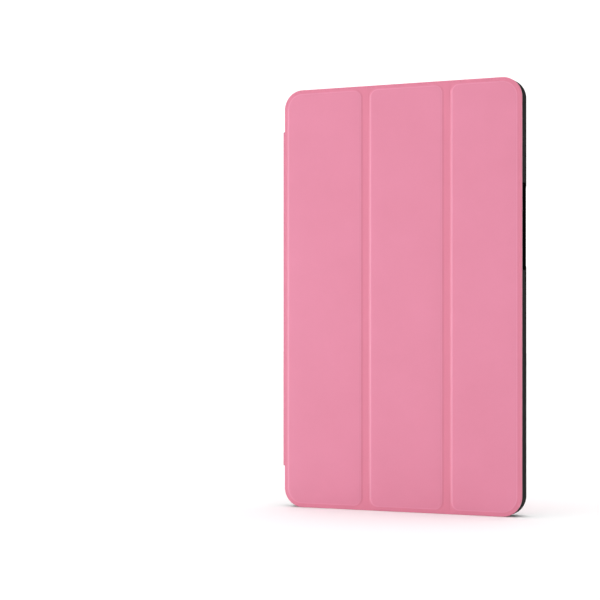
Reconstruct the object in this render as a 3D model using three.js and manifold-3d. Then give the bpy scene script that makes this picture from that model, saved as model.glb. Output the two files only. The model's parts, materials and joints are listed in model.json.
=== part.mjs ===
// Tri-fold tablet case, closed and standing on its short edge.
// A moulded shell holds the tablet. A cover of three stiff panels hangs on a thin spine along the
// shell's left side and closes over the screen. Two fold grooves let the panels roll into a stand.
// Millimetres. X runs across the case with the spine at -X, Y runs from the cover to the shell's
// back, Z is up. The origin is at the middle of the base.

import * as THREE from 'three';
import { mergeVertices } from 'three/addons/utils/BufferGeometryUtils.js';
import Module from 'manifold-3d';

const wasm = await Module();
wasm.setup();

// ---------------------------------------------------------------- Driving dimensions

// The tablet that the case is made for
const tabletWidth = 124.2;
const tabletHeight = 215.5;
const tabletThickness = 7.3;
const tabletCornerRadius = 8.5;
const tabletClearance = 0.3;
const tabletDepthClearance = 0.2;

// Moulded shell
const shellWall = 1.2;
const shellBackThickness = 1.1;
const shellEdgeRadius = 2.6;
const shellCornerRadius = 10;
const lipThickness = 0.8;
const lipOverlap = 1;
const cornerCapLength = 12.5;
const openingCornerRadius = 3;
const buttonCutoutFromTop = 52.3;
const buttonCutoutLength = 43.6;
const cameraHoleDiameter = 11;
const cameraFromSide = 15;
const cameraFromTop = 15;

// Sheets, and the glue between them
const leatherThickness = 0.5;
const liningThickness = 0.35;
const boardThickness = 1.2;
const stiffenerThickness = 0.3;
const glueLine = 0.08;
const seam = 0.15;

// Cover
const coverGap = 0.3;
const coverCornerRadius = 10;
const boardMargin = 2.2;
const boardInnerCornerRadius = 3;
const firstPanelWidth = 45.6;
const secondPanelWidth = 43.7;
const grooveWidth = 4.8;
const grooveDepth = 0.8;

// Spine and its two creases
const spineEndInset = 21.5;
const spineShellGap = 0.3;
const spineProud = 0.9;
const stiffenerInset = 1;
const frontCreaseReach = 1.9;
const backCreaseReach = 1;
const creaseRadius = 1.2;
const liningCreaseRadius = 0.5;

// Leather on the shell's back
const backLeatherBorder = 5;
const backLeatherCornerRadius = 6;
const cameraLeatherMargin = 0.8;

// Magnets in the third panel and the steel plates in the first panel that they hold on to
const magnetLength = 20;
const magnetWidth = 5;
const magnetThickness = 1;
const magnetClearance = 0.1;
const magnetFromEdge = 6;
const standMagnetFromMiddle = 62;
const sleepMagnetLength = 12;
const catchPlateFromHinge = 9;

// How finely arcs are divided
const cornerSegments = 8;
const edgeSegments = 4;
const holeSegments = 32;

// How far a cutting body runs past what it cuts
const cutterReach = 1;

// ---------------------------------------------------------------- Layout

const shellWidth = tabletWidth + 2 * (tabletClearance + shellWall);
const caseHeight = tabletHeight + 2 * (tabletClearance + shellWall);
const pocketDepth = tabletThickness + tabletDepthClearance;
const shellDepth = lipThickness + pocketDepth + shellBackThickness;
const coverThickness = leatherThickness + boardThickness + liningThickness + 2 * glueLine;
const spineThickness = leatherThickness + stiffenerThickness + liningThickness + 2 * glueLine;
const caseWidth = spineThickness + spineShellGap + shellWidth;
const caseDepth = coverThickness + coverGap + shellDepth + glueLine + leatherThickness;

// Across
const spineOuter = -caseWidth / 2;
const spineInner = spineOuter + spineThickness;
const spineMiddle = spineOuter + spineThickness / 2;
const shellLeft = spineInner + spineShellGap;
const shellRight = shellLeft + shellWidth;
const shellCentre = (shellLeft + shellRight) / 2;
const coverLeft = spineOuter + spineProud;
const coverRight = shellRight;
const firstFold = coverLeft + firstPanelWidth;
const secondFold = firstFold + secondPanelWidth;

// From front to back
const coverFront = -caseDepth / 2;
const coverBack = coverFront + coverThickness;
const boardFront = coverFront + leatherThickness + glueLine;
const coverLiningFront = coverBack - liningThickness;
const shellFront = coverBack + coverGap;
const pocketFront = shellFront + lipThickness;
const pocketBack = pocketFront + pocketDepth;
const shellBack = shellFront + shellDepth;
const backLeatherFront = shellBack + glueLine;
const caseBack = backLeatherFront + leatherThickness;
const frontHinge = coverFront + coverThickness / 2;
const backHinge = caseBack - spineThickness / 2;

// Up
const spineBottom = spineEndInset;
const spineTop = caseHeight - spineEndInset;
const spineHeight = spineTop - spineBottom;
const middleHeight = caseHeight / 2;

// ---------------------------------------------------------------- Shape helpers

function solidFrom(geometry) {
  const bare = geometry.clone();
  bare.deleteAttribute('normal');
  bare.deleteAttribute('uv');
  const merged = mergeVertices(bare);
  const mesh = new wasm.Mesh({
    numProp: 3,
    vertProperties: new Float32Array(merged.attributes.position.array),
    triVerts: new Uint32Array(merged.index.array),
  });
  return new wasm.Manifold(mesh);
}

function geometryFrom(solid) {
  const mesh = solid.getMesh();
  const geometry = new THREE.BufferGeometry();
  geometry.setAttribute('position', new THREE.BufferAttribute(mesh.vertProperties, 3));
  geometry.setIndex(new THREE.BufferAttribute(mesh.triVerts, 1));
  geometry.computeVertexNormals();
  return geometry;
}

// Body with other bodies cut out of it
function cut(geometry, ...cutters) {
  const solids = cutters.map(solidFrom);
  const start = solidFrom(geometry);
  const remaining = solids.reduce((body, cutter) => body.subtract(cutter), start);
  return geometryFrom(remaining);
}

function join(first, second) {
  const body = solidFrom(first).add(solidFrom(second));
  return geometryFrom(body);
}

// Points on an arc, its two ends included
function arcPoints(centreX, centreY, radius, start, end) {
  const points = [];
  for (let step = 0; step <= cornerSegments; step += 1) {
    const angle = start + (end - start) * step / cornerSegments;
    points.push(new THREE.Vector2(
      centreX + radius * Math.cos(angle), centreY + radius * Math.sin(angle)));
  }
  return points;
}

// Rectangle with its own radius at each corner; radii run anticlockwise from the low corner
function outline(left, right, bottom, top, radii) {
  const corners = [
    [left, bottom, 1, 1, Math.PI],
    [right, bottom, -1, 1, 1.5 * Math.PI],
    [right, top, -1, -1, 0],
    [left, top, 1, -1, 0.5 * Math.PI],
  ];
  const points = corners.flatMap(([x, y, inwardX, inwardY, start], index) => {
    const radius = radii[index];
    if (radius === 0) {
      return [new THREE.Vector2(x, y)];
    }
    const centreX = x + inwardX * radius;
    const centreY = y + inwardY * radius;
    return arcPoints(centreX, centreY, radius, start, start + Math.PI / 2);
  });
  return new THREE.Shape(points);
}

// Sheet parallel to the cover: the shape's x and y become x and z
function slab(shape, front, thickness) {
  const geometry = new THREE.ExtrudeGeometry(shape, { depth: thickness, bevelEnabled: false });
  geometry.rotateX(Math.PI / 2);
  geometry.translate(0, front + thickness, 0);
  return geometry;
}

// Prism that stands on a level plane: the shape's x and y stay x and y
function upright(shape, bottom, height) {
  const geometry = new THREE.ExtrudeGeometry(shape, { depth: height, bevelEnabled: false });
  geometry.translate(0, 0, bottom);
  return geometry;
}

// Prism that runs across: the shape's x and y become y and z
function crosswise(shape, left, length) {
  const geometry = new THREE.ExtrudeGeometry(shape, { depth: length, bevelEnabled: false });
  const toY = new THREE.Vector3(0, 1, 0);
  const toZ = new THREE.Vector3(0, 0, 1);
  const toX = new THREE.Vector3(1, 0, 0);
  geometry.applyMatrix4(new THREE.Matrix4().makeBasis(toY, toZ, toX));
  geometry.translate(left, 0, 0);
  return geometry;
}

function block(left, right, front, back, bottom, top) {
  const geometry = new THREE.BoxGeometry(right - left, back - front, top - bottom);
  geometry.translate((left + right) / 2, (front + back) / 2, (bottom + top) / 2);
  return geometry;
}

// Round hole through the back at the camera
function cameraCutter(diameter) {
  const length = caseDepth;
  const geometry = new THREE.CylinderGeometry(diameter / 2, diameter / 2, length, holeSegments);
  geometry.translate(shellRight - cameraFromSide, pocketBack + length / 2 - cutterReach, 0);
  geometry.translate(0, 0, caseHeight - cameraFromTop);
  return geometry;
}

// L-shaped section of a sheet that turns a corner; side is the way its second leg runs along y
function creaseSection(cornerX, cornerY, legX, legY, thickness, radius, side) {
  const centreX = cornerX + radius;
  const centreY = cornerY + side * radius;
  const alongX = -side * Math.PI / 2;
  const alongY = -side * Math.PI;
  const points = [
    new THREE.Vector2(cornerX + legX, cornerY),
    ...arcPoints(centreX, centreY, radius, alongX, alongY),
    new THREE.Vector2(cornerX, cornerY + side * legY),
    new THREE.Vector2(cornerX + thickness, cornerY + side * legY),
    ...arcPoints(centreX, centreY, radius - thickness, alongY, alongX),
    new THREE.Vector2(cornerX + legX, cornerY + side * thickness),
  ];
  return new THREE.Shape(points);
}

// ---------------------------------------------------------------- Materials

function finish(color, roughness, metalness) {
  return () => new THREE.MeshStandardMaterial({ color, roughness, metalness });
}

const pinkLeather = finish(0xe98fa8, 0.5, 0);
const greyLining = finish(0xa3a3a3, 0.95, 0);
const blackPlastic = finish(0x232323, 0.4, 0);
const greyBoard = finish(0x9a9288, 0.9, 0);
const clearStiffener = finish(0xd8d8d2, 0.6, 0);
const platedSteel = finish(0xb8babd, 0.35, 0.9);

const tabletCase = new THREE.Group();

function addPiece(parent, name, geometry, material) {
  const mesh = new THREE.Mesh(geometry, material());
  mesh.name = name;
  parent.add(mesh);
}

// ---------------------------------------------------------------- Shell

const shell = new THREE.Group();
tabletCase.add(shell);

// Solid form of the shell, with its back edge rounded and its front flat
function shellForm() {
  const inset = shellEdgeRadius;
  const cornerRadius = shellCornerRadius - inset;
  const radii = [cornerRadius, cornerRadius, cornerRadius, cornerRadius];
  const left = shellLeft + inset;
  const right = shellRight - inset;
  const shape = outline(left, right, inset, caseHeight - inset, radii);
  const geometry = new THREE.ExtrudeGeometry(shape, {
    depth: shellDepth,
    bevelThickness: inset,
    bevelSize: inset,
    bevelSegments: edgeSegments,
  });
  geometry.rotateX(Math.PI / 2);
  geometry.translate(0, shellBack - inset, 0);
  const low = -cutterReach;
  const high = caseHeight + cutterReach;
  const front = block(shellLeft - cutterReach, shellRight + cutterReach,
    shellFront - 2 * inset - cutterReach, shellFront, low, high);
  return cut(geometry, front);
}

// Room for the tablet behind the lip
function pocketCutter() {
  const radius = tabletCornerRadius + tabletClearance;
  const radii = [radius, radius, radius, radius];
  const left = shellLeft + shellWall;
  const right = shellRight - shellWall;
  const shape = outline(left, right, shellWall, caseHeight - shellWall, radii);
  return slab(shape, pocketFront, pocketDepth);
}

// Opening in front of the screen, inside the lip
function windowCutter() {
  const inset = shellWall + tabletClearance + lipOverlap;
  const radius = tabletCornerRadius - lipOverlap;
  const radii = [radius, radius, radius, radius];
  const left = shellLeft + inset;
  const right = shellRight - inset;
  const shape = outline(left, right, inset, caseHeight - inset, radii);
  return slab(shape, shellFront - cutterReach, lipThickness + 2 * cutterReach);
}

// Both short ends are open between the corner caps
function endOpeningCutter() {
  const left = shellLeft + cornerCapLength;
  const right = shellRight - cornerCapLength;
  const radii = [0, 0, openingCornerRadius, openingCornerRadius];
  const shape = outline(left, right, shellFront - cutterReach, pocketBack, radii);
  return upright(shape, -cutterReach, caseHeight + 2 * cutterReach);
}

// The long wall away from the spine is cut away beside the tablet's buttons
function buttonCutter() {
  const top = caseHeight - buttonCutoutFromTop;
  const bottom = top - buttonCutoutLength;
  const radii = [0, openingCornerRadius, openingCornerRadius, 0];
  const shape = outline(shellFront - cutterReach, pocketBack, bottom, top, radii);
  const left = shellRight - shellWall - tabletClearance - lipOverlap - cutterReach;
  return crosswise(shape, left, shellRight + cutterReach - left);
}

const backShell = cut(shellForm(), pocketCutter(), windowCutter(), endOpeningCutter(),
  buttonCutter(), cameraCutter(cameraHoleDiameter));
addPiece(shell, 'back_shell', backShell, blackPlastic);

// Leather glued to the back, with a tongue that reaches the spine
function backLeather() {
  const radius = backLeatherCornerRadius;
  const left = shellLeft + backLeatherBorder;
  const right = shellRight - backLeatherBorder;
  const top = caseHeight - backLeatherBorder;
  const field = outline(left, right, backLeatherBorder, top, [radius, radius, radius, radius]);
  const tongueLeft = spineMiddle + backCreaseReach;
  const tongue = block(tongueLeft, left + radius, backLeatherFront, caseBack, spineBottom, spineTop);
  const sheet = join(slab(field, backLeatherFront, leatherThickness), tongue);
  return cut(sheet, cameraCutter(cameraHoleDiameter + 2 * cameraLeatherMargin));
}

addPiece(shell, 'back_leather', backLeather(), pinkLeather);

// ---------------------------------------------------------------- Spine

const spine = new THREE.Group();
tabletCase.add(spine);

const spineFront = frontHinge + frontCreaseReach;
const spineBack = backHinge - backCreaseReach;

function spineSheet(outer, thickness, inset) {
  return block(outer, outer + thickness, spineFront + inset, spineBack - inset,
    spineBottom + inset, spineTop - inset);
}

const stiffenerOuter = spineOuter + leatherThickness + glueLine;
const spineLiningOuter = spineInner - liningThickness;
addPiece(spine, 'spine_leather', spineSheet(spineOuter, leatherThickness, 0), pinkLeather);
addPiece(spine, 'spine_stiffener',
  spineSheet(stiffenerOuter, stiffenerThickness, stiffenerInset), clearStiffener);
addPiece(spine, 'spine_lining', spineSheet(spineLiningOuter, liningThickness, 0), greyLining);

// Leather that bends where the spine meets the back
const backCreaseLegX = spineMiddle + backCreaseReach - seam - spineOuter;
const backCreaseLegY = caseBack - spineBack - seam;
const backCreaseShape = creaseSection(spineOuter, caseBack, backCreaseLegX, backCreaseLegY,
  leatherThickness, creaseRadius, -1);
addPiece(spine, 'back_crease_leather', upright(backCreaseShape, spineBottom, spineHeight), pinkLeather);

// Leather and lining that bend where the spine meets the cover
const frontCreaseEnd = spineMiddle + frontCreaseReach - seam;
const frontCreaseShape = creaseSection(spineOuter, coverFront, frontCreaseEnd - spineOuter,
  spineFront - seam - coverFront, leatherThickness, creaseRadius, 1);
addPiece(spine, 'front_crease_leather', upright(frontCreaseShape, spineBottom, spineHeight), pinkLeather);

const liningCreaseShape = creaseSection(spineLiningOuter, coverLiningFront,
  frontCreaseEnd - spineLiningOuter, spineFront - seam - coverLiningFront,
  liningThickness, liningCreaseRadius, 1);
addPiece(spine, 'front_crease_lining', upright(liningCreaseShape, spineBottom, spineHeight), greyLining);

// ---------------------------------------------------------------- Cover panels

const cover = new THREE.Group();
tabletCase.add(cover);

const halfGroove = grooveWidth / 2;
const foldSideMargin = leatherThickness + glueLine;

// Each panel's limits across, which of its sides are the cover's own edges, and its metal inserts.
// insertMiddle is where its inserts lie across; an insert is [name, height of its middle, length].
const panels = [
  {
    name: 'panel_1',
    left: coverLeft,
    right: firstFold - halfGroove,
    outerLeft: true,
    outerRight: false,
    insertMiddle: spineMiddle + catchPlateFromHinge,
    inserts: [
      ['catch_plate_lower', middleHeight - standMagnetFromMiddle, magnetLength],
      ['catch_plate_upper', middleHeight + standMagnetFromMiddle, magnetLength],
    ],
  },
  {
    name: 'panel_2',
    left: firstFold + halfGroove,
    right: secondFold - halfGroove,
    outerLeft: false,
    outerRight: false,
    insertMiddle: 0,
    inserts: [],
  },
  {
    name: 'panel_3',
    left: secondFold + halfGroove,
    right: coverRight,
    outerLeft: false,
    outerRight: true,
    insertMiddle: coverRight - magnetFromEdge,
    inserts: [
      ['stand_magnet_lower', middleHeight - standMagnetFromMiddle, magnetLength],
      ['sleep_magnet', middleHeight, sleepMagnetLength],
      ['stand_magnet_upper', middleHeight + standMagnetFromMiddle, magnetLength],
    ],
  },
];

function panelOutline(panel) {
  const leftRadius = panel.outerLeft ? coverCornerRadius : 0;
  const rightRadius = panel.outerRight ? coverCornerRadius : 0;
  const radii = [leftRadius, rightRadius, rightRadius, leftRadius];
  return outline(panel.left, panel.right, 0, caseHeight, radii);
}

// Outline of the board, or of the room for it when clearance is more than nothing
function boardOutline(panel, clearance) {
  const leftMargin = panel.outerLeft ? boardMargin : foldSideMargin;
  const rightMargin = panel.outerRight ? boardMargin : foldSideMargin;
  const outerRadius = coverCornerRadius - boardMargin + clearance;
  const innerRadius = boardInnerCornerRadius + clearance;
  const leftRadius = panel.outerLeft ? outerRadius : innerRadius;
  const rightRadius = panel.outerRight ? outerRadius : innerRadius;
  const left = panel.left + leftMargin - clearance;
  const right = panel.right - rightMargin + clearance;
  const bottom = boardMargin - clearance;
  const top = caseHeight - boardMargin + clearance;
  return outline(left, right, bottom, top, [leftRadius, rightRadius, rightRadius, leftRadius]);
}

// The first panel's sheets stop short of the hinge beside the spine, where the crease takes over
const creaseRelief = block(coverLeft - cutterReach, spineMiddle + frontCreaseReach,
  coverFront - cutterReach, coverBack + cutterReach, spineBottom - seam, spineTop + seam);

// A metal insert in its panel, or the room for it when clearance is more than nothing
function insertBlock(middle, height, length, thickness, clearance) {
  const halfWidth = magnetWidth / 2 + clearance;
  const halfLength = length / 2 + clearance;
  const boardMiddle = boardFront + boardThickness / 2;
  return block(middle - halfWidth, middle + halfWidth,
    boardMiddle - thickness / 2, boardMiddle + thickness / 2,
    height - halfLength, height + halfLength);
}

for (const panel of panels) {
  const relief = panel.outerLeft ? [creaseRelief] : [];
  const leatherDepth = coverThickness - liningThickness - glueLine;
  const boardRoom = slab(boardOutline(panel, glueLine), coverFront + leatherThickness, leatherDepth);
  const leather = cut(slab(panelOutline(panel), coverFront, leatherDepth), boardRoom, ...relief);
  const insertRoom = ([, height, length]) => insertBlock(panel.insertMiddle, height, length,
    boardThickness + 2 * cutterReach, magnetClearance);
  const board = cut(slab(boardOutline(panel, 0), boardFront, boardThickness),
    ...panel.inserts.map(insertRoom));
  const lining = cut(slab(panelOutline(panel), coverLiningFront, liningThickness), ...relief);
  addPiece(cover, `${panel.name}_leather`, leather, pinkLeather);
  addPiece(cover, `${panel.name}_board`, board, greyBoard);
  addPiece(cover, `${panel.name}_lining`, lining, greyLining);
  for (const [name, height, length] of panel.inserts) {
    const insert = insertBlock(panel.insertMiddle, height, length, magnetThickness, 0);
    addPiece(cover, name, insert, platedSteel);
  }
}

// Leather and lining that bend in the two fold grooves
[firstFold, secondFold].forEach((fold, index) => {
  const left = fold - halfGroove + seam;
  const right = fold + halfGroove - seam;
  const leatherFront = coverFront + grooveDepth;
  const leather = block(left, right, leatherFront, leatherFront + leatherThickness, 0, caseHeight);
  const lining = block(left, right, coverLiningFront, coverBack, 0, caseHeight);
  addPiece(cover, `fold_${index + 1}_leather`, leather, pinkLeather);
  addPiece(cover, `fold_${index + 1}_lining`, lining, greyLining);
});

export default tabletCase;
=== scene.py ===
"""Tri-fold tablet case, closed and standing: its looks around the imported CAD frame."""

import json
import math

import bmesh
import bpy
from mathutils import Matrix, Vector
from mathutils.geometry import delaunay_2d_cdt


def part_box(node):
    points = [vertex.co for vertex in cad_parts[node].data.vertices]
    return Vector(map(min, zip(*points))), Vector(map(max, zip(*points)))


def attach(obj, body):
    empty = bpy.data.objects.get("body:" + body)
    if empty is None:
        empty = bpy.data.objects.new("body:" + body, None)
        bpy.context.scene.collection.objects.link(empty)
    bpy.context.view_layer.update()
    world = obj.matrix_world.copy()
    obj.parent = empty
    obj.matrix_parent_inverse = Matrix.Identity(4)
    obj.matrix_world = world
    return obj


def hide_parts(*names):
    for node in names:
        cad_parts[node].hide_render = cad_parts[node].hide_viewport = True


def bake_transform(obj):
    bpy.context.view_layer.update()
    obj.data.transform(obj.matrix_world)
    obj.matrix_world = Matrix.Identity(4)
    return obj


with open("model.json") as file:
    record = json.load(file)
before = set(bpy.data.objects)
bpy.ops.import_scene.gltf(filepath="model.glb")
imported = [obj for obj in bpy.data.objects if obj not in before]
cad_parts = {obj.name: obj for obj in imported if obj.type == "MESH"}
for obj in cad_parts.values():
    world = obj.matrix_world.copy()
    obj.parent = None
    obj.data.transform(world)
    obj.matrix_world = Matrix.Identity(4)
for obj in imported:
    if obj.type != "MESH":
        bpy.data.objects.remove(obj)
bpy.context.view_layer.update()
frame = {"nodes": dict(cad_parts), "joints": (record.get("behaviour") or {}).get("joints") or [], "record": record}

MM = 0.001

# ---------------------------------------------------------------- Places from the CAD

panel_1_low, panel_1_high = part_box("panel_1_leather")
panel_2_low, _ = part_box("panel_2_leather")
_, panel_3_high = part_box("panel_3_leather")
cover_lining_low, cover_lining_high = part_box("panel_2_lining")
spine_low, spine_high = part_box("spine_leather")
_, spine_lining_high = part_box("spine_lining")
shell_low, shell_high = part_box("back_shell")
_, back_leather_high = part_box("back_leather")
joint_at = {joint["name"]: Vector(joint["pos_m"]) for joint in frame["joints"]}
openings = {o["name"]: o["box_m"] for o in frame["record"]["physics"]["openings"]}

HEIGHT = panel_1_high.z
COVER_LEFT = panel_1_low.x
COVER_RIGHT = panel_3_high.x
COVER_FRONT = panel_2_low.y
LINING_FRONT = cover_lining_low.y
COVER_BACK = cover_lining_high.y
FOLD_1 = joint_at["first_fold"].x
FOLD_2 = joint_at["second_fold"].x
PANEL_2_MIDDLE = (FOLD_1 + FOLD_2) / 2
HALF_GROOVE = FOLD_1 - panel_1_high.x
HINGE_X = joint_at["cover_hinge"].x
HINGE_Y = joint_at["cover_hinge"].y
BACK_HINGE_Y = joint_at["spine_hinge"].y
SPINE_OUTER = spine_low.x
SPINE_INNER = spine_lining_high.x
SPINE_BOTTOM = spine_low.z
SPINE_TOP = spine_high.z
SPINE_HALF = (SPINE_INNER - SPINE_OUTER) / 2
SHELL_LEFT = shell_low.x
SHELL_RIGHT = shell_high.x
SHELL_FRONT = shell_low.y
SHELL_BACK = shell_high.y
LEATHER_BACK = back_leather_high.y
camera_low, camera_high = openings["camera_hole"]
CAMERA_HOLE_X = (camera_low[0] + camera_high[0]) / 2
CAMERA_HOLE_Z = (camera_low[2] + camera_high[2]) / 2

# ---------------------------------------------------------------- Sizes of the finish

# Sheets
LEATHER_THICKNESS = 0.45 * MM
LINING_THICKNESS = 0.3 * MM
COVER_CORNER = 10 * MM
EDGE_ROUNDING = 0.35 * MM
EDGE_RINGS = [0.03 * MM, 0.1 * MM, 0.2 * MM, EDGE_ROUNDING]
LINING_SHY = 0.1 * MM

# The leather falls from a board's face to the pressed border or groove over the slope.
# Rings are offsets from the face's outline in millimetres, positive outwards.
SLOPE_WIDTH = 1.9 * MM
SLOPE_RINGS = [-9, -5, -2.5, -1, -0.35, 0, 0.2, 0.4, 0.65, 0.9, 1.15, 1.4, 1.65, 1.9]
CROWN = 0.12 * MM
CROWN_REACH = 2.2 * MM
BORDER_WIDTH = 2.9 * MM
BORDER_DEPTH = HINGE_Y - SPINE_HALF - COVER_FRONT
GROOVE_DEPTH = 0.72 * MM
GROOVE_TOP_HALF = HALF_GROOVE + 0.9 * MM
GROOVE_CORNER = 3.2 * MM
GROOVE_FLARE = 4 * MM
GROOVE_MOUTH = 0.8 * MM
SMALLEST_CORNER = 0.6 * MM
LINING_DIP = 0.2 * MM

# The hinge side is pressed thin beside the spine and ends in a round nose about the hinge
WEB_END = HINGE_X + 1.4 * MM
WEB_SLOPE = 1.3 * MM
SPINE_STEP_START = 0.4 * MM
SPINE_STEP = 1.6 * MM
SPINE_STEP_LINES = 9
NOSE_PROUD = 0.012 * MM
LINING_NOSE_SHY = 0.015 * MM
NOSE_SPLIT = 210
LEATHER_ROWS = 8
LINING_ROWS = 14

# Lines across each fold, and short lines at the fold's ends, that the cover's triangles follow
FOLD_LINES = [0.3 * MM * k for k in range(-4, 5)]
FLARE_LINES = [side * k * MM for side in (-1, 1) for k in (1.5, 1.8, 2.1, 2.4, 2.7)]
FLARE_LINE_LENGTH = 3.4 * MM

# Leather on the back and the spine
BACK_BORDER = 5 * MM
BACK_CORNER = 6 * MM
TONGUE_FILLET = 3 * MM
BACK_EDGE_ROUNDING = 0.25 * MM
BACK_EDGE_RINGS = [0.02 * MM, 0.08 * MM, 0.15 * MM, BACK_EDGE_ROUNDING]
CAMERA_LEATHER_RADIUS = 6.3 * MM
CAMERA_OUTER_RING = 2 * MM
CREASE_COLUMNS = 12
CREASE_SIDE_LINES = [0.5 * MM, 1 * MM, 1.6 * MM]
LIP_COLUMNS = 4
# The spine lining is pinched in at its ends: how far, over what distance, and its rows' distances from the ends in
# millimetres
PINCH = 0.5 * MM
PINCH_REACH = 0.9 * MM
PINCH_ROWS = [0, 0.15, 0.3, 0.45, 0.6, 0.75, 0.9]

# Moulded shell
SHELL_WALL = 1.2 * MM
SHELL_BACK_THICKNESS = 1.1 * MM
SHELL_EDGE = 2.6 * MM
SHELL_CORNER = 10 * MM
LIP_THICKNESS = 0.8 * MM
LIP_INSET = 2.5 * MM
LIP_ROUNDING = 0.3 * MM
LIP_INNER_ROUNDING = 0.7 * LIP_ROUNDING
POCKET_FILLET = 0.6 * MM
CORNER_CAP = 12.5 * MM
OPENING_CORNER = 3 * MM
BUTTON_TOP = HEIGHT - 52.3 * MM
BUTTON_LENGTH = 43.6 * MM
CAMERA_HOLE_RADIUS = 5.5 * MM
CUT_BEVEL = 0.22 * MM
CUT_BEVEL_ANGLE = 35
CUTTER_REACH = 4 * MM

# Meshing
LONGEST_SIDE = 15 * MM
SHEET_SHARP_ANGLE = 50
SHELL_SHARP_ANGLE = 32


def smooth(t):
    t = min(1.0, max(0.0, t))
    return t * t * (3 - 2 * t)


def mix(a, b, t):
    return a + (b - a) * t


# ---------------------------------------------------------------- Flat outlines

def arc(centre_x, centre_z, radius, start, end, segments):
    """Points on an arc, angles in degrees."""
    points = []
    for k in range(segments + 1):
        angle = math.radians(mix(start, end, k / segments))
        points.append((centre_x + radius * math.cos(angle), centre_z + radius * math.sin(angle)))
    return points


def rounded_outline(x0, x1, z0, z1, left_radius, right_radius, segments=14):
    """Points of a rounded rectangle, counter-clockwise from its lower left corner."""
    corners = [
        (x0, z0, 1, 1, 180, left_radius),
        (x1, z0, -1, 1, 270, right_radius),
        (x1, z1, -1, -1, 0, right_radius),
        (x0, z1, 1, -1, 90, left_radius),
    ]
    points = []
    for x, z, inward_x, inward_z, start, radius in corners:
        centre_x = x + inward_x * radius
        centre_z = z + inward_z * radius
        points += arc(centre_x, centre_z, radius, start, start + 90, segments)
    return points


def rounded_distance(x, z, x0, x1, z0, z1, left_radius, right_radius):
    """Distance outside a rounded rectangle, negative inside it, and the way out."""
    radius = left_radius if x < (x0 + x1) / 2 else right_radius
    from_x = x - (x0 + x1) / 2
    from_z = z - (z0 + z1) / 2
    dx = abs(from_x) - (x1 - x0) / 2 + radius
    dz = abs(from_z) - (z1 - z0) / 2 + radius
    if dx > 0 and dz > 0:
        out = (math.copysign(dx, from_x), math.copysign(dz, from_z))
    elif dx > dz:
        out = (math.copysign(1, from_x), 0)
    else:
        out = (0, math.copysign(1, from_z))
    distance = math.hypot(max(dx, 0), max(dz, 0)) + min(max(dx, dz), 0) - radius
    return distance, Vector(out).normalized()


def subdivided(points, closed=True):
    """The same line with no stretch longer than the longest side allowed."""
    result = []
    count = len(points)
    for k in range(count if closed else count - 1):
        (x0, z0), (x1, z1) = points[k], points[(k + 1) % count]
        pieces = max(1, math.ceil(math.hypot(x1 - x0, z1 - z0) / LONGEST_SIDE))
        for j in range(pieces):
            result.append((mix(x0, x1, j / pieces), mix(z0, z1, j / pieces)))
    if not closed:
        result.append(points[-1])
    return result


class FlatMesh:
    """Loops and lines in a plane, meshed with triangles that follow all of them."""

    def __init__(self):
        self.points = []
        self.edges = []
        self.outlines = []

    def loop(self, points, outline=False):
        ids = self._add(subdivided(points))
        self.edges += [(ids[k - 1], ids[k]) for k in range(len(ids))]
        if outline:
            self.outlines.append(ids)

    def line(self, points):
        ids = self._add(subdivided(points, closed=False))
        self.edges += list(zip(ids, ids[1:]))

    def _add(self, points):
        first = len(self.points)
        self.points += [Vector(p) / MM for p in points]
        return list(range(first, len(self.points)))

    def triangles(self):
        points, _, faces, *_ = delaunay_2d_cdt(self.points, self.edges, self.outlines, 1, 1e-5)
        return [(p.x * MM, p.y * MM) for p in points], [tuple(f) for f in faces]


def rim_edges(faces):
    """Directed edges that only one face has."""
    directed = set()
    for face in faces:
        directed.update(zip(face, face[1:] + face[:1]))
    return [(a, b) for a, b in directed if (b, a) not in directed]


# ---------------------------------------------------------------- Meshes into pieces

def mesh_piece(name, points, faces, uvs, pressed, material):
    """A mesh object; uvs are rest positions in metres, pressed is how far leather is pressed."""
    used = sorted({i for face in faces for i in face})
    index = {old: new for new, old in enumerate(used)}
    mesh = bpy.data.meshes.new(name)
    mesh.from_pydata([points[i] for i in used], [], [[index[i] for i in f] for f in faces])
    mesh.update()
    layer = mesh.uv_layers.new(name="rest")
    for loop in mesh.loops:
        layer.data[loop.index].uv = uvs[used[loop.vertex_index]]
    attribute = mesh.attributes.new("pressed", "FLOAT", "POINT")
    for new, old in enumerate(used):
        attribute.data[new].value = pressed[old]
    mesh.polygons.foreach_set("use_smooth", [True] * len(mesh.polygons))
    mesh.materials.append(material)
    piece = bpy.data.objects.new(name, mesh)
    bpy.context.scene.collection.objects.link(piece)
    return piece


def applied(piece, sharp_angle):
    """Turns a piece's modifiers into its mesh, with edges sharper than the angle left crisp."""
    graph = bpy.context.evaluated_depsgraph_get()
    mesh = bpy.data.meshes.new_from_object(piece.evaluated_get(graph))
    mesh.name = piece.name
    piece.modifiers.clear()
    piece.data = mesh
    mesh.polygons.foreach_set("use_smooth", [True] * len(mesh.polygons))
    mesh.set_sharp_from_angle(angle=math.radians(sharp_angle))
    return piece


def thicken(piece, thickness):
    """Gives a sheet its thickness on the side away from its normals."""
    solidify = piece.modifiers.new("thickness", "SOLIDIFY")
    solidify.thickness = thickness
    solidify.offset = -1
    return applied(piece, SHEET_SHARP_ANGLE)


# ---------------------------------------------------------------- Node materials

def srgb(red, green, blue):
    """Linear colour from 0-255 sRGB values."""
    def linear(value):
        share = value / 255
        if share <= 0.04045:
            return share / 12.92
        return ((share + 0.055) / 1.055) ** 2.4
    return (linear(red), linear(green), linear(blue), 1)


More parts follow.
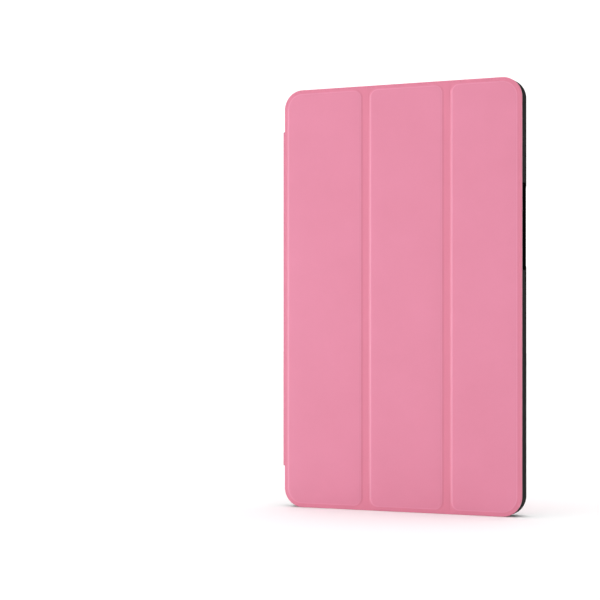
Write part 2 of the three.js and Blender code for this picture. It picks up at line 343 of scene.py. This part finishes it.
class Surface:
    """Builds a Principled material from noise and bump layers."""

    def __init__(self, name, use_uv):
        self.material = bpy.data.materials.new(name)
        self.material.use_nodes = True
        self.nodes = self.material.node_tree.nodes
        self.links = self.material.node_tree.links
        self.shader = self.nodes["Principled BSDF"]
        coordinates = self.nodes.new("ShaderNodeTexCoord")
        self.place = coordinates.outputs["UV" if use_uv else "Object"]
        self.normal = None

    def noise(self, scale, detail, roughness, stretch=None):
        place = self.place
        if stretch is not None:
            mapping = self.nodes.new("ShaderNodeMapping")
            mapping.inputs["Scale"].default_value = stretch
            self.links.new(place, mapping.inputs["Vector"])
            place = mapping.outputs["Vector"]
        node = self.nodes.new("ShaderNodeTexNoise")
        node.inputs["Scale"].default_value = scale
        node.inputs["Detail"].default_value = detail
        node.inputs["Roughness"].default_value = roughness
        self.links.new(place, node.inputs["Vector"])
        return node.outputs["Fac"]

    def cells(self, scale):
        node = self.nodes.new("ShaderNodeTexVoronoi")
        node.inputs["Scale"].default_value = scale
        self.links.new(self.place, node.inputs["Vector"])
        return node.outputs["Distance"]

    def attribute(self, name):
        node = self.nodes.new("ShaderNodeAttribute")
        node.attribute_name = name
        return node.outputs["Fac"]

    def ramp(self, value, low, high, low_color, high_color):
        node = self.nodes.new("ShaderNodeValToRGB")
        node.color_ramp.elements[0].position = low
        node.color_ramp.elements[0].color = low_color
        node.color_ramp.elements[1].position = high
        node.color_ramp.elements[1].color = high_color
        self.links.new(value, node.inputs["Fac"])
        return node.outputs["Color"]

    def between(self, value, low, high, to_low, to_high):
        node = self.nodes.new("ShaderNodeMapRange")
        node.inputs["From Min"].default_value = low
        node.inputs["From Max"].default_value = high
        node.inputs["To Min"].default_value = to_low
        node.inputs["To Max"].default_value = to_high
        self.links.new(value, node.inputs["Value"])
        return node.outputs["Result"]

    def blended(self, share, first, second):
        node = self.nodes.new("ShaderNodeMix")
        node.data_type = "RGBA"
        self.links.new(share, node.inputs["Factor"])
        for value, socket in ((first, node.inputs["A"]), (second, node.inputs["B"])):
            if isinstance(value, tuple):
                socket.default_value = value
            else:
                self.links.new(value, socket)
        return node.outputs["Result"]

    def added(self, first, second):
        node = self.nodes.new("ShaderNodeMath")
        node.operation = "ADD"
        self.links.new(first, node.inputs[0])
        self.links.new(second, node.inputs[1])
        return node.outputs["Value"]

    def bump(self, height, distance, strength):
        node = self.nodes.new("ShaderNodeBump")
        node.inputs["Distance"].default_value = distance
        node.inputs["Strength"].default_value = strength
        self.links.new(height, node.inputs["Height"])
        if self.normal is not None:
            self.links.new(self.normal, node.inputs["Normal"])
        self.normal = node.outputs["Normal"]
        self.links.new(self.normal, self.shader.inputs["Normal"])

    def feed(self, socket, value):
        self.links.new(value, self.shader.inputs[socket])

    def fix(self, socket, value):
        self.shader.inputs[socket].default_value = value


def leather_material():
    """Pink coated leather: soft mottling, a fine pebble grain, a painted highlight as a paler band at the top of
    each slope, and a darker red on the slopes, border and grooves that is partly the pressed leather's tone and
    partly painted shade.
    """
    s = Surface("pink_leather", use_uv=True)
    mottle = s.ramp(s.noise(28, 3, 0.55), 0.3, 0.7, srgb(217, 129, 154), srgb(220, 132, 158))
    pressed = s.attribute("pressed")
    # Painted highlight: a paler band along the top of each slope, standing in for light caught on the board's edge
    painted_slope_highlight = s.blended(s.between(pressed, 0.02, 0.15, 0, 0.45), mottle, srgb(232, 156, 182))
    # Darker, redder on the slopes, border and grooves: partly the pressed leather's own tone, partly painted shade
    # in the grooves
    pressed_tone_and_painted_shade = s.blended(s.between(pressed, 0, 0.7, 0, 0.36), mottle, srgb(214, 113, 134))
    colour = s.blended(s.between(pressed, 0.2, 0.5, 0, 1), painted_slope_highlight, pressed_tone_and_painted_shade)
    pores = s.between(s.cells(1500), 0.05, 0.35, 0.1, 0)
    s.feed("Base Color", s.blended(pores, colour, srgb(196, 92, 116)))
    grain_roughness = s.between(s.noise(260, 4, 0.6), 0.3, 0.7, 0.43, 0.53)
    pressed_shine = s.between(pressed, 0, 1, 0, -0.05)
    s.feed("Roughness", s.added(grain_roughness, pressed_shine))
    s.bump(s.cells(1100), 0.03 * MM, 0.35)
    s.bump(s.noise(2600, 3, 0.6), 0.02 * MM, 0.3)
    s.bump(s.noise(70, 2, 0.5), 0.12 * MM, 0.25)
    s.fix("Specular IOR Level", 0.4)
    s.fix("Sheen Weight", 0.08)
    s.fix("Sheen Roughness", 0.4)
    return s.material


def lining_material():
    """Grey microfibre: short brushed fibres, cloudy nap and a soft sheen."""
    s = Surface("grey_microfibre", use_uv=True)
    nap = s.noise(45, 4, 0.6)
    fibres = s.noise(1800, 3, 0.7, (1, 0.35, 1))
    cloudy = s.ramp(nap, 0.3, 0.7, srgb(157, 157, 158), srgb(163, 163, 163))
    s.feed("Base Color", s.blended(s.between(fibres, 0.35, 0.7, 0, 0.3), cloudy, srgb(132, 132, 134)))
    s.feed("Roughness", s.between(nap, 0.3, 0.7, 0.85, 0.96))
    s.bump(fibres, 0.06 * MM, 0.6)
    s.bump(nap, 0.1 * MM, 0.3)
    s.fix("Specular IOR Level", 0.2)
    s.fix("Sheen Weight", 0.35)
    s.fix("Sheen Roughness", 0.5)
    return s.material


def plastic_material():
    """Black moulded plastic: a fine spark-eroded grain with faint handling marks."""
    s = Surface("black_plastic", use_uv=False)
    tone = s.noise(30, 3, 0.5)
    s.feed("Base Color", s.ramp(tone, 0.3, 0.7, srgb(9, 8, 8), srgb(14, 13, 13)))
    marks = s.between(s.noise(90, 5, 0.7, (1, 1, 0.15)), 0.55, 0.75, 0, 0.08)
    s.feed("Roughness", s.added(s.between(s.noise(700, 3, 0.6), 0.3, 0.7, 0.46, 0.54), marks))
    s.bump(s.noise(3200, 3, 0.6), 0.015 * MM, 0.4)
    s.fix("Specular IOR Level", 0.015)
    return s.material


def board_material():
    """Grey pressed board: fibres and specks."""
    s = Surface("grey_board", use_uv=False)
    fibres = s.noise(900, 4, 0.7, (1, 1, 0.3))
    s.feed("Base Color", s.ramp(fibres, 0.3, 0.7, srgb(132, 124, 114), srgb(166, 158, 148)))
    s.feed("Roughness", s.between(fibres, 0.3, 0.7, 0.82, 0.95))
    s.bump(fibres, 0.05 * MM, 0.5)
    return s.material


def film_material():
    """Milky plastic film: faint clouds and a slight orange peel."""
    s = Surface("spine_film", use_uv=False)
    clouds = s.noise(120, 3, 0.5)
    s.feed("Base Color", s.ramp(clouds, 0.3, 0.7, srgb(208, 208, 200), srgb(222, 222, 216)))
    s.feed("Roughness", s.between(clouds, 0.3, 0.7, 0.45, 0.6))
    s.bump(s.noise(800, 2, 0.5), 0.01 * MM, 0.4)
    return s.material


def steel_material():
    """Nickel-plated steel: brushed along its length."""
    s = Surface("plated_steel", use_uv=False)
    brushed = s.noise(2400, 3, 0.6, (1, 1, 0.04))
    s.feed("Base Color", s.ramp(brushed, 0.3, 0.7, srgb(176, 178, 180), srgb(196, 197, 199)))
    s.feed("Roughness", s.between(brushed, 0.3, 0.7, 0.26, 0.4))
    s.bump(brushed, 0.01 * MM, 0.4)
    s.fix("Metallic", 0.95)
    return s.material


# ---------------------------------------------------------------- Cover

ISLANDS = [
    (COVER_LEFT + BORDER_WIDTH, FOLD_1 - GROOVE_TOP_HALF, COVER_CORNER - BORDER_WIDTH, GROOVE_CORNER),
    (FOLD_1 + GROOVE_TOP_HALF, FOLD_2 - GROOVE_TOP_HALF, GROOVE_CORNER, GROOVE_CORNER),
    (FOLD_2 + GROOVE_TOP_HALF, COVER_RIGHT - BORDER_WIDTH, GROOVE_CORNER, COVER_CORNER - BORDER_WIDTH),
]


def island_outline(island, out):
    """Outline of a board's raised face, moved outwards."""
    left, right, left_radius, right_radius = island
    bottom = BORDER_WIDTH - out
    top = HEIGHT - BORDER_WIDTH + out
    # An inward ring keeps a small corner where its own radius would run out
    left_corner = max(left_radius + out, SMALLEST_CORNER)
    right_corner = max(right_radius + out, SMALLEST_CORNER)
    return rounded_outline(left - out, right + out, bottom, top, left_corner, right_corner)


def island_distance(x, z):
    """Distance outside the nearest raised face, negative on it."""
    return min(
        rounded_distance(x, z, left, right, BORDER_WIDTH, HEIGHT - BORDER_WIDTH, left_r, right_r)[0]
        for left, right, left_r, right_r in ISLANDS
    )


def cover_edge(x, z):
    """Distance inside the cover's outline, and the way out of it."""
    distance, out = rounded_distance(
        x, z, COVER_LEFT, COVER_RIGHT, 0, HEIGHT, COVER_CORNER, COVER_CORNER)
    return -distance, out


def beside_spine(x, z):
    """1 on the hinge side next to the spine, 0 elsewhere, with a soft step at the spine's ends."""
    if x > WEB_END + WEB_SLOPE:
        return 0
    rise = smooth((z - SPINE_BOTTOM + SPINE_STEP_START) / SPINE_STEP)
    fall = smooth((SPINE_TOP + SPINE_STEP_START - z) / SPINE_STEP)
    return rise * fall


def rounding_drop(edge, radius):
    """How far a rounded edge has fallen at this distance from it."""
    if edge >= radius:
        return 0
    return radius - math.sqrt(max(0, radius ** 2 - (radius - max(0, edge)) ** 2))


def groove_share(x, edge):
    """1 in a fold groove, 0 on the pressed border, with a flare where they meet."""
    away = min(abs(x - FOLD_1), abs(x - FOLD_2)) - GROOVE_TOP_HALF
    return smooth(1 - away / GROOVE_FLARE) * smooth((edge - GROOVE_MOUTH) / GROOVE_FLARE)


def cover_front(x, z):
    """Where the leather's face lies, and how far it is pressed."""
    out = island_distance(x, z)
    edge, _ = cover_edge(x, z)
    if out <= 0:
        return COVER_FRONT + CROWN * math.exp(out / CROWN_REACH), 0
    low = mix(BORDER_DEPTH, GROOVE_DEPTH, groove_share(x, edge))
    slope = smooth(out / SLOPE_WIDTH)
    drop = rounding_drop(edge, EDGE_ROUNDING) * (1 - beside_spine(x, z))
    return COVER_FRONT + mix(CROWN, low, slope) + drop, slope


def lining_back(x, z):
    """Where the lining's face lies, with a shallow dip at each fold and the web at the hinge."""
    near_fold = min(abs(x - FOLD_1), abs(x - FOLD_2))
    dip = LINING_DIP * smooth(1 - near_fold / GROOVE_TOP_HALF)
    edge, _ = cover_edge(x, z)
    web_depth = COVER_BACK - (HINGE_Y + SPINE_HALF - LINING_NOSE_SHY)
    share = beside_spine(x, z)
    web = web_depth * share * (1 - smooth((x - WEB_END) / WEB_SLOPE))
    drop = rounding_drop(edge, LINING_SHY) * (1 - share)
    return COVER_BACK - dip - web - drop


def flat_cover():
    """Triangles of the whole cover laid flat, following its borders, slopes and folds."""
    flat = FlatMesh()
    flat.loop(rounded_outline(COVER_LEFT, COVER_RIGHT, 0, HEIGHT, COVER_CORNER, COVER_CORNER), True)
    for inset in EDGE_RINGS:
        radius = COVER_CORNER - inset
        flat.loop(rounded_outline(COVER_LEFT + inset, COVER_RIGHT - inset, inset, HEIGHT - inset,
                                  radius, radius))
    for island in ISLANDS:
        for out in SLOPE_RINGS:
            flat.loop(island_outline(island, out * MM))
    for fold in (FOLD_1, FOLD_2):
        for away in FOLD_LINES:
            flat.line([(fold + away, 0), (fold + away, HEIGHT)])
        for away in FLARE_LINES:
            flat.line([(fold + away, 0), (fold + away, FLARE_LINE_LENGTH)])
            flat.line([(fold + away, HEIGHT - FLARE_LINE_LENGTH), (fold + away, HEIGHT)])
    flat.line([(PANEL_2_MIDDLE, 0), (PANEL_2_MIDDLE, HEIGHT)])
    for k in range(SPINE_STEP_LINES):
        rise = SPINE_STEP * k / (SPINE_STEP_LINES - 1) - SPINE_STEP_START
        for z in (SPINE_BOTTOM + rise, SPINE_TOP - rise):
            flat.line([(COVER_LEFT, z), (WEB_END + WEB_SLOPE, z)])
    for away in (0, 0.25, 0.5, 0.75, 1):
        x = WEB_END + WEB_SLOPE * away
        flat.line([(x, SPINE_BOTTOM - SPINE_STEP_START), (x, SPINE_TOP + SPINE_STEP_START)])
    return flat.triangles()


def nose_point(share, start, radius):
    """A point on the nose about the cover's hinge, on the way from start to the split."""
    angle = math.radians(mix(start, NOSE_SPLIT, share))
    return HINGE_X + radius * math.cos(angle), HINGE_Y + radius * math.sin(angle)


def cover_sheet(flat_points, flat_faces, face_at, inset, nose_start, nose_radius, rows):
    """A whole cover sheet: its face, and the rows that turn its edge or its nose."""
    points, uvs, pressed = [], [], []
    for x, z in flat_points:
        edge, out = cover_edge(x, z)
        y, press = face_at(x, z)
        shy = inset * max(0, 1 - edge / EDGE_ROUNDING)
        points.append((x - out.x * shy, y, z - out.y * shy))
        uvs.append((x, z))
        pressed.append(press)
    faces = list(flat_faces)
    row_of = {}
    for a, b in rim_edges(flat_faces):
        for i in (a, b):
            if i in row_of:
                continue
            x, y, z = points[i]
            share = beside_spine(*flat_points[i])
            _, out = cover_edge(*flat_points[i])
            row_of[i] = [i]
            for k in range(1, rows + 1):
                wall_y = mix(y, LINING_FRONT, k / rows)
                nose_x, nose_y = nose_point((k - 1) / (rows - 1), nose_start, nose_radius)
                row_of[i].append(len(points))
                points.append((mix(x, nose_x, share), mix(wall_y, nose_y, share), z))
                run = abs(y - LINING_FRONT) * k / rows
                uvs.append((uvs[i][0] + out.x * run, uvs[i][1] + out.y * run))
                pressed.append(pressed[i])
        for k in range(rows):
            faces.append((row_of[b][k], row_of[a][k], row_of[a][k + 1], row_of[b][k + 1]))
    return points, faces, uvs, pressed


def cover_halves(name, sheet, flipped, thickness, material):
    """The sheet as two pieces that meet in the flat middle of the second panel."""
    points, faces, uvs, pressed = sheet
    if flipped:
        faces = [tuple(reversed(face)) for face in faces]
    halves = []
    for side, label in ((-1, "left"), (1, "right")):
        kept = []
        for face in faces:
            middle = sum(uvs[i][0] for i in face) / len(face)
            if (middle - PANEL_2_MIDDLE) * side > 0:
                kept.append(face)
        piece = mesh_piece(f"{name}_{label}", points, kept, uvs, pressed, material)
        halves.append(thicken(piece, thickness))
    return halves


def bend_at_fold(piece):
    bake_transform(piece)


def build_cover(leather, lining):
    flat_points, flat_faces = flat_cover()
    leather_sheet = cover_sheet(flat_points, flat_faces, cover_front, 0,
                                270, SPINE_HALF + NOSE_PROUD, LEATHER_ROWS)
    lining_sheet = cover_sheet(flat_points, flat_faces, lambda x, z: (lining_back(x, z), 0),
                               LINING_SHY, 90, SPINE_HALF - LINING_NOSE_SHY, LINING_ROWS)
    pairs = [
        (cover_halves("cover_leather", leather_sheet, False, LEATHER_THICKNESS, leather), "leather"),
        (cover_halves("cover_lining", lining_sheet, True, LINING_THICKNESS, lining), "lining"),
    ]
    for (left, right), kind in pairs:
        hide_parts(f"panel_1_{kind}", f"fold_1_{kind}", f"front_crease_{kind}",
                    f"panel_2_{kind}")
        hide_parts(f"fold_2_{kind}", f"panel_3_{kind}")
        bend_at_fold(left)
        bend_at_fold(right)


# ---------------------------------------------------------------- Back and spine

BACK_RUN = math.pi / 2 * SPINE_HALF
SPINE_RUN = BACK_HINGE_Y - HINGE_Y
LIP_RUN = math.radians(NOSE_SPLIT - 180) * SPINE_HALF
WRAP_END = -(BACK_RUN + SPINE_RUN + LIP_RUN)


def wrap_point(u):
    """Where the back and spine leather's face lies u along it, and which way it faces, in x and y.
    u is 0 at the back hinge, grows over the back, and falls round the crease and down the spine."""
    if u >= 0:
        return Vector((HINGE_X + u, LEATHER_BACK)), Vector((0, 1))
    if u >= -BACK_RUN:
        angle = math.radians(90) - u / SPINE_HALF
        facing = Vector((math.cos(angle), math.sin(angle)))
        return Vector((HINGE_X, BACK_HINGE_Y)) + facing * SPINE_HALF, facing
    if u >= -BACK_RUN - SPINE_RUN:
        return Vector((SPINE_OUTER, BACK_HINGE_Y + u + BACK_RUN)), Vector((-1, 0))
    angle = math.radians(180) - (u + BACK_RUN + SPINE_RUN) / SPINE_HALF
    facing = Vector((math.cos(angle), math.sin(angle)))
    return Vector((HINGE_X, HINGE_Y)) + facing * SPINE_HALF, facing


def back_outline(inset):
    """The leather's outline laid flat: a rounded field on the back and a tongue down the spine."""
    left = SHELL_LEFT + BACK_BORDER - HINGE_X + inset
    right = SHELL_RIGHT - BACK_BORDER - HINGE_X - inset
    bottom = BACK_BORDER + inset
    top = HEIGHT - BACK_BORDER - inset
    tongue_bottom = SPINE_BOTTOM + inset
    tongue_top = SPINE_TOP - inset
    corner = BACK_CORNER - inset
    fillet = TONGUE_FILLET + inset
    end = WRAP_END + inset
    return (
        arc(left + corner, bottom + corner, corner, 180, 270, 10)
        + arc(right - corner, bottom + corner, corner, 270, 360, 10)
        + arc(right - corner, top - corner, corner, 0, 90, 10)
        + arc(left + corner, top - corner, corner, 90, 180, 10)
        + arc(left - fillet, tongue_top + fillet, fillet, 360, 270, 8)
        + [(end, tongue_top), (end, tongue_bottom)]
        + arc(left - fillet, tongue_bottom - fillet, fillet, 90, 0, 8)
    )


def distance_to_loop(point, loop):
    nearest = math.inf
    for k in range(len(loop)):
        a = Vector(loop[k - 1])
        along = Vector(loop[k]) - a
        share = min(1, max(0, (point - a).dot(along) / max(along.length_squared, 1e-18)))
        nearest = min(nearest, (point - a - along * share).length)
    return nearest


def build_back(leather):
    hole = Vector((CAMERA_HOLE_X - HINGE_X, CAMERA_HOLE_Z))
    flat = FlatMesh()
    outline = back_outline(0)
    flat.loop(outline, True)
    for inset in BACK_EDGE_RINGS:
        flat.loop(back_outline(inset))
    for inset in [0, *BACK_EDGE_RINGS, CAMERA_OUTER_RING]:
        flat.loop(arc(hole.x, hole.y, CAMERA_LEATHER_RADIUS + inset, 0, 360, 40)[:-1])
    crease = [-BACK_RUN * k / CREASE_COLUMNS for k in range(CREASE_COLUMNS + 1)]
    lip_start = -BACK_RUN - SPINE_RUN
    lip = [lip_start - LIP_RUN * k / LIP_COLUMNS for k in range(LIP_COLUMNS)]
    spine_side = [-BACK_RUN - away for away in CREASE_SIDE_LINES]
    for u in [*crease, *lip, *CREASE_SIDE_LINES, *spine_side]:
        flat.line([(u, SPINE_BOTTOM), (u, SPINE_TOP)])
    points, faces = flat.triangles()
    placed = []
    for u, z in points:
        point = Vector((u, z))
        edge = distance_to_loop(point, outline)
        if u > WRAP_END + 2 * EDGE_ROUNDING:
            edge = min(edge, max(0, (point - hole).length - CAMERA_LEATHER_RADIUS))
        else:
            edge = min(abs(z - SPINE_BOTTOM), abs(z - SPINE_TOP))
        at, facing = wrap_point(u)
        at = at - facing * rounding_drop(edge, BACK_EDGE_ROUNDING)
        placed.append((at.x, at.y, z))
    kept = []
    for face in faces:
        middle = sum((Vector(points[i]) for i in face), Vector((0, 0))) / len(face)
        if (middle - hole).length > CAMERA_LEATHER_RADIUS:
            kept.append(tuple(reversed(face)))
    piece = mesh_piece("back_and_spine_leather", placed, kept, points, [0] * len(placed), leather)
    thicken(piece, LEATHER_THICKNESS)
    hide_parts("back_leather", "back_crease_leather", "spine_leather")
    middle = HEIGHT / 2
    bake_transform(piece)


def build_spine_lining(lining):
    """The lining on the spine's inner face, pinched down to the leather at its ends."""
    heights = [SPINE_BOTTOM + inset * MM for inset in PINCH_ROWS]
    heights += [SPINE_TOP - inset * MM for inset in reversed(PINCH_ROWS)]
    depths = [HINGE_Y, mix(HINGE_Y, BACK_HINGE_Y, 0.5), BACK_HINGE_Y]
    points, uvs = [], []
    for z in heights:
        edge = min(z - SPINE_BOTTOM, SPINE_TOP - z)
        x = SPINE_INNER - PINCH * (1 - smooth(edge / PINCH_REACH))
        for y in depths:
            points.append((x, y, z))
            uvs.append((y, z))
    faces = []
    across = len(depths)
    for row in range(len(heights) - 1):
        for column in range(across - 1):
            first = row * across + column
            faces.append((first, first + 1, first + across + 1, first + across))
    piece = mesh_piece("spine_lining_sheet", points, faces, uvs, [0] * len(points), lining)
    thicken(piece, LINING_THICKNESS)
    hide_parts("spine_lining")
    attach(piece, "spine")


# ---------------------------------------------------------------- Shell

def shell_section():
    """Section of the shell's rim as (inset from the outline, y), from the pocket's floor out."""
    pocket_back = SHELL_BACK - SHELL_BACK_THICKNESS
    pocket_front = SHELL_FRONT + LIP_THICKNESS
    section = [(SHELL_WALL + 3 * POCKET_FILLET, pocket_back)]
    section += arc(SHELL_WALL + POCKET_FILLET, pocket_back - POCKET_FILLET, POCKET_FILLET, 90, 180, 5)
    section += [(SHELL_WALL, pocket_front), (LIP_INSET, pocket_front)]
    inner = LIP_INNER_ROUNDING
    section += arc(LIP_INSET - inner, SHELL_FRONT + inner, inner, 0, -90, 4)
    section += arc(LIP_ROUNDING, SHELL_FRONT + LIP_ROUNDING, LIP_ROUNDING, 270, 180, 5)
    section += arc(SHELL_EDGE, SHELL_BACK - SHELL_EDGE, SHELL_EDGE, 180, 90, 12)
    section.append((SHELL_EDGE + 2 * MM, SHELL_BACK))
    return section


def shell_form():
    """The rim swept round the shell's outline, closed by the back's two faces."""
    rings = []
    for inset, y in shell_section():
        radius = SHELL_CORNER - inset
        outline = rounded_outline(SHELL_LEFT + inset, SHELL_RIGHT - inset, inset, HEIGHT - inset,
                                  radius, radius, 20)
        rings.append([(x, y, z) for x, z in outline])
    count = len(rings[0])
    points = [p for ring in rings for p in ring]
    faces = []
    for row in range(len(rings) - 1):
        for k in range(count):
            after = (k + 1) % count
            faces.append((row * count + k, row * count + after,
                          (row + 1) * count + after, (row + 1) * count + k))
    last = (len(rings) - 1) * count
    faces.append(tuple(reversed(range(count))))
    faces.append(tuple(range(last, last + count)))
    return points, faces


def prism(name, outline, place):
    """A closed cutter: an outline at two stations, placed in space by place(a, b, end)."""
    count = len(outline)
    points = [place(a, b, 0) for a, b in outline] + [place(a, b, 1) for a, b in outline]
    faces = [tuple(reversed(range(count))), tuple(range(count, 2 * count))]
    for k in range(count):
        after = (k + 1) % count
        faces.append((k, after, count + after, count + k))
    return closed_object(name, points, faces)


def closed_object(name, points, faces):
    mesh = bpy.data.meshes.new(name)
    mesh.from_pydata(points, [], faces)
    work = bmesh.new()
    work.from_mesh(mesh)
    bmesh.ops.remove_doubles(work, verts=work.verts, dist=1e-7)
    bmesh.ops.recalc_face_normals(work, faces=work.faces)
    work.to_mesh(mesh)
    work.free()
    piece = bpy.data.objects.new(name, mesh)
    bpy.context.scene.collection.objects.link(piece)
    return piece


def shell_cutters():
    pocket_back = SHELL_BACK - SHELL_BACK_THICKNESS
    front = SHELL_FRONT - CUTTER_REACH
    corner = OPENING_CORNER
    left = SHELL_LEFT + CORNER_CAP
    right = SHELL_RIGHT - CORNER_CAP
    ends = [(left, front), (right, front)]
    ends += arc(right - corner, pocket_back - corner, corner, 0, 90, 10)
    ends += arc(left + corner, pocket_back - corner, corner, 90, 180, 10)
    bottom = BUTTON_TOP - BUTTON_LENGTH
    button = [(front, bottom)]
    button += arc(pocket_back - corner, bottom + corner, corner, 270, 360, 10)
    button += arc(pocket_back - corner, BUTTON_TOP - corner, corner, 0, 90, 10)
    button.append((front, BUTTON_TOP))
    hole = arc(CAMERA_HOLE_X, CAMERA_HOLE_Z, CAMERA_HOLE_RADIUS, 0, 360, 48)[:-1]
    high = HEIGHT + CUTTER_REACH
    side = SHELL_RIGHT - LIP_INSET - CUTTER_REACH / 4
    return [
        prism("cut_ends", ends, lambda a, b, end: (a, b, mix(-CUTTER_REACH, high, end))),
        prism("cut_buttons", button,
              lambda a, b, end: (mix(side, SHELL_RIGHT + CUTTER_REACH, end), a, b)),
        prism("cut_camera", hole,
              lambda a, b, end: (a, mix(pocket_back - MM, SHELL_BACK + CUTTER_REACH, end), b)),
    ]


def build_shell(plastic):
    points, faces = shell_form()
    rough = closed_object("shell_body", points, faces)
    cutters = shell_cutters()
    for cutter in cutters:
        boolean = rough.modifiers.new(cutter.name, "BOOLEAN")
        boolean.operation = "DIFFERENCE"
        boolean.solver = "EXACT"
        boolean.object = cutter
    bevel = rough.modifiers.new("soft_edges", "BEVEL")
    bevel.width = CUT_BEVEL
    bevel.segments = 3
    bevel.limit_method = "ANGLE"
    bevel.angle_limit = math.radians(CUT_BEVEL_ANGLE)
    piece = applied(rough, SHELL_SHARP_ANGLE)
    for cutter in cutters:
        bpy.data.objects.remove(cutter)
    piece.data.materials.clear()
    piece.data.materials.append(plastic)
    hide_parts("back_shell")
    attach(piece, "shell")


# ---------------------------------------------------------------- CAD pieces that stay

def finish_cad_nodes():
    board, film, steel = board_material(), film_material(), steel_material()
    finishes = {
        "panel_1_board": board,
        "panel_2_board": board,
        "panel_3_board": board,
        "spine_stiffener": film,
        "catch_plate_lower": steel,
        "catch_plate_upper": steel,
        "stand_magnet_lower": steel,
        "sleep_magnet": steel,
        "stand_magnet_upper": steel,
    }
    for name, material in finishes.items():
        for material_slot in frame["nodes"][name].material_slots:
            material_slot.material = material


# ---------------------------------------------------------------- Studio

CAMERA_LENS = 93.5
CAMERA_YAW = math.radians(23.2)
CAMERA_PLACE = (267.1 * MM, -756.6 * MM, 91.7 * MM)
CAMERA_SHIFT_Y = 0.0536
CAMERA_SENSOR = 36
CAMERA_NEAR = 0.01
CAMERA_FAR = 50
FLOOR_HALF = 6.0
FLOOR_DROP = 0.02 * MM

# Brightness of the surroundings by the height they are seen at, with a soft light overhead
SKY = [(0.0, 0.42), (0.22, 0.42), (0.4, 0.07), (0.75, 0.07), (0.88, 1.0)]
SKY_STRENGTH = 2.88
KEY_POWER = 5.8
KEY_TINT = (0.9, 1.0, 1.02)
KEY_PLACE = (-1.15, -0.7, 0.12)
KEY_WIDTH = 0.7
KEY_HEIGHT = 0.22


def build_camera():
    data = bpy.data.cameras.new("camera")
    data.lens = CAMERA_LENS
    data.sensor_width = CAMERA_SENSOR
    data.shift_y = CAMERA_SHIFT_Y
    data.clip_start = CAMERA_NEAR
    data.clip_end = CAMERA_FAR
    camera = bpy.data.objects.new("camera", data)
    camera.location = CAMERA_PLACE
    camera.rotation_euler = (math.radians(90), 0, CAMERA_YAW)
    bpy.context.scene.collection.objects.link(camera)
    bpy.context.scene.camera = camera


def build_floor():
    s = Surface("studio_floor", use_uv=False)
    tone = s.noise(3, 2, 0.5)
    s.feed("Base Color", s.ramp(tone, 0.3, 0.7, (0.9, 0.9, 0.9, 1), (0.93, 0.93, 0.93, 1)))
    s.fix("Roughness", 0.8)
    mesh = bpy.data.meshes.new("studio_floor")
    corners = [(-FLOOR_HALF, -FLOOR_HALF), (FLOOR_HALF, -FLOOR_HALF),
               (FLOOR_HALF, FLOOR_HALF), (-FLOOR_HALF, FLOOR_HALF)]
    mesh.from_pydata([(x, y, -FLOOR_DROP) for x, y in corners], [], [(0, 1, 2, 3)])
    mesh.materials.append(s.material)
    floor = bpy.data.objects.new("studio_floor", mesh)
    bpy.context.scene.collection.objects.link(floor)


def area_light(name, place, target, width, height, power, tint):
    data = bpy.data.lights.new(name, "AREA")
    data.shape = "RECTANGLE"
    data.size = width
    data.size_y = height
    data.energy = power
    data.color = tint
    light = bpy.data.objects.new(name, data)
    light.location = place
    light.rotation_euler = (Vector(target) - Vector(place)).to_track_quat("-Z", "Y").to_euler()
    bpy.context.scene.collection.objects.link(light)


def build_light():
    world = bpy.data.worlds.new("studio")
    world.use_nodes = True
    background = world.node_tree.nodes["Background"]
    nodes, links = world.node_tree.nodes, world.node_tree.links
    direction = nodes.new("ShaderNodeTexCoord")
    parts = nodes.new("ShaderNodeSeparateXYZ")
    ramp = nodes.new("ShaderNodeValToRGB")
    links.new(direction.outputs["Generated"], parts.inputs["Vector"])
    links.new(parts.outputs["Z"], ramp.inputs["Fac"])
    links.new(ramp.outputs["Color"], background.inputs["Color"])
    stops = ramp.color_ramp.elements
    while len(stops) < len(SKY):
        stops.new(0.5)
    for stop, (height, level) in zip(stops, SKY):
        stop.position = height
        stop.color = (level, level, level, 1)
    background.inputs["Strength"].default_value = SKY_STRENGTH
    bpy.context.scene.world = world
    bpy.context.scene.view_settings.view_transform = "Standard"
    middle = (0, 0, HEIGHT / 2)
    area_light("key_left", KEY_PLACE, middle, KEY_WIDTH, KEY_HEIGHT, KEY_POWER, KEY_TINT)


# ---------------------------------------------------------------- Put together

build_camera()
pink = leather_material()
grey = lining_material()
build_cover(pink, grey)
build_back(pink)
build_spine_lining(grey)
build_shell(plastic_material())
finish_cad_nodes()
build_floor()
build_light()
